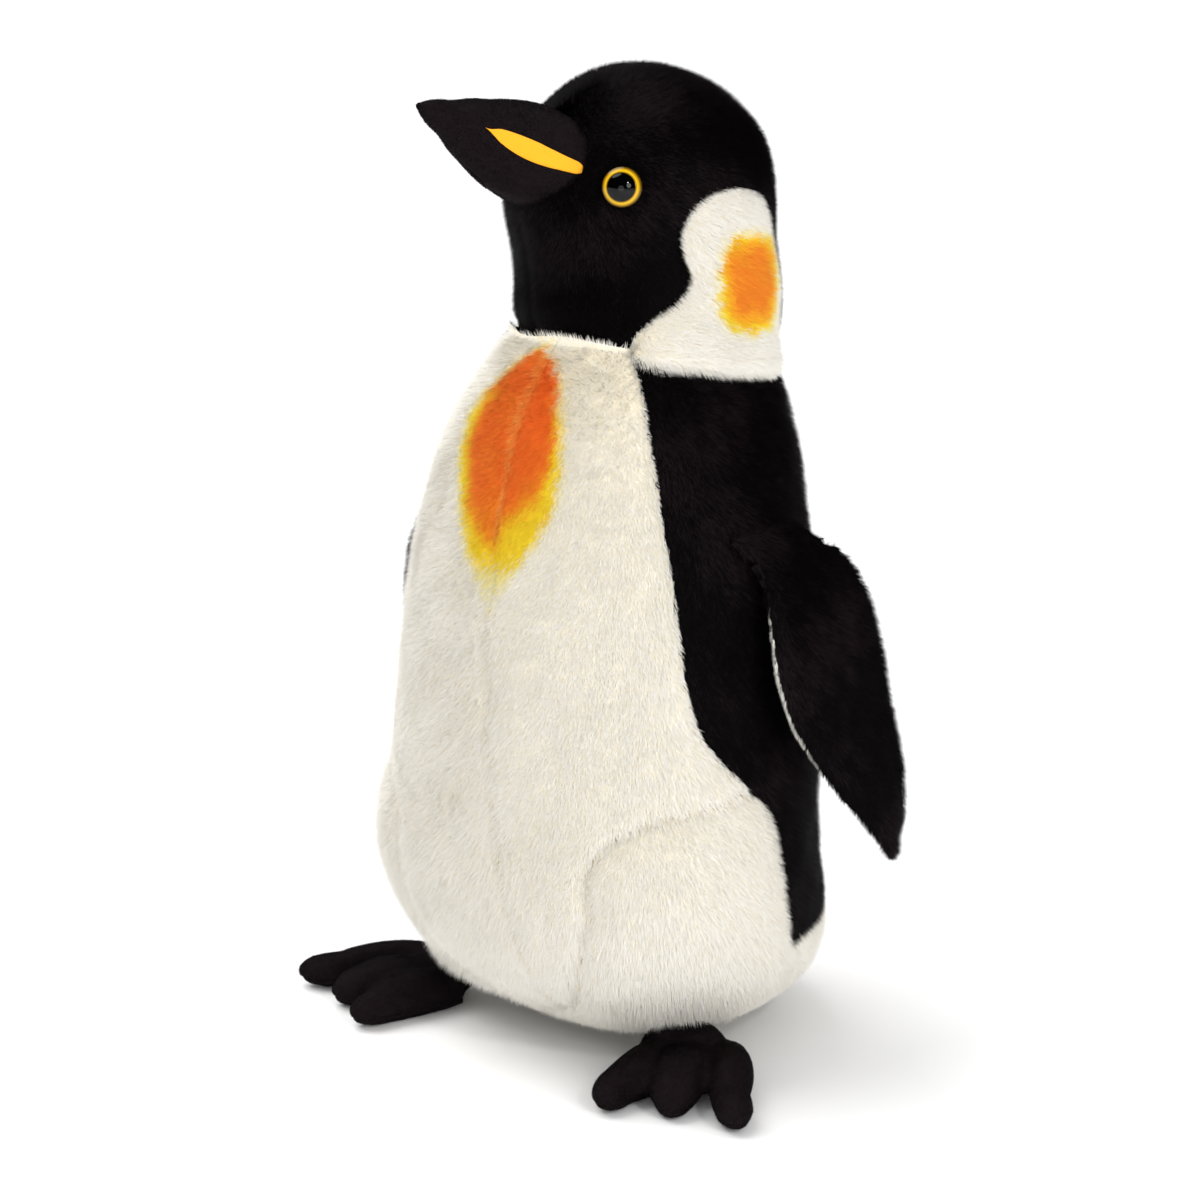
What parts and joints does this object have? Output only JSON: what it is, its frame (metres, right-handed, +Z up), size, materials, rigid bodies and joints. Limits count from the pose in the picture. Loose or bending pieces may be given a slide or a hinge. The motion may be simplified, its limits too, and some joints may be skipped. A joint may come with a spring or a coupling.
{
  "type": "plush penguin",
  "caption": "Standing stuffed plush penguin with a stuffed head that turns, stitched beak, plastic eyes, hinged flippers and three-toed feet.",
  "frame": {"origin": "on the floor, on the flat base, below the shoulders", "axes": "+Z up, the penguin's body faces -Y and its left side is +X"},
  "size_m": [0.3778, 0.271, 0.6081],
  "materials": {
    "black_plush": "short soft pile, about 8 mm long",
    "white_plush": "short soft ivory pile, airbrushed orange and yellow on the chest and cheeks",
    "black_nap": "smooth fleece with a very short nap",
    "yellow_felt": "smooth felt",
    "eye_plastic": "glossy moulded safety eye with an amber ring and a black pupil",
    "washer_plastic": "plain moulded lock washer",
    "filling": "loose polyester fibre"
  },
  "bodies": {
    "torso": {"torso_stuffing": "filling", "base_panel": "white_plush", "belly_left": "white_plush", "belly_right": "white_plush", "thigh_left": "white_plush", "thigh_right": "white_plush", "back_left": "black_plush", "back_right": "black_plush"},
    "head": {"head_stuffing": "filling", "head_side_left": "black_plush", "head_side_right": "black_plush", "cheek_left": "white_plush", "cheek_right": "white_plush", "beak_stuffing": "filling", "beak_left": "black_nap", "beak_right": "black_nap", "beak_stripe_left": "yellow_felt", "beak_stripe_right": "yellow_felt", "eye_left": "eye_plastic", "eye_right": "eye_plastic", "eye_washer_left": "washer_plastic", "eye_washer_right": "washer_plastic"},
    "flipper_left": {"flipper_outer_left": "black_plush", "flipper_lining_left": "white_plush", "flipper_stuffing_left": "filling"},
    "flipper_right": {"flipper_outer_right": "black_plush", "flipper_lining_right": "white_plush", "flipper_stuffing_right": "filling"},
    "foot_left": {"foot_upper_left": "black_nap", "foot_sole_left": "black_nap", "foot_stuffing_left": "filling"},
    "foot_right": {"foot_upper_right": "black_nap", "foot_sole_right": "black_nap", "foot_stuffing_right": "filling"}
  },
  "joints": [
    {"name": "head_turn", "type": "hinge", "parent": "torso", "child": "head", "pos_m": [0, 0.036, 0.436], "axis": [0, 0.1392, 0.9903], "range_deg": [-20, 20], "stiffness_Nm_per_rad": 0.4},
    {"name": "flipper_left_lift", "type": "hinge", "parent": "torso", "child": "flipper_left", "pos_m": [0.1295, 0.005, 0.342], "axis": [0, -1, 0], "range_deg": [0, 80], "stiffness_Nm_per_rad": 0.02},
    {"name": "flipper_right_lift", "type": "hinge", "parent": "torso", "child": "flipper_right", "pos_m": [-0.1295, 0.005, 0.342], "axis": [0, 1, 0], "range_deg": [0, 80], "stiffness_Nm_per_rad": 0.02},
    {"name": "foot_left_bend", "type": "hinge", "parent": "torso", "child": "foot_left", "pos_m": [0.098, -0.041, 0.018], "axis": [-0.8387, -0.5446, 0], "range_deg": [0, 35], "stiffness_Nm_per_rad": 0.05},
    {"name": "foot_right_bend", "type": "hinge", "parent": "torso", "child": "foot_right", "pos_m": [-0.098, -0.041, 0.018], "axis": [-0.8387, 0.5446, 0], "range_deg": [0, 35], "stiffness_Nm_per_rad": 0.05}
  ]
}
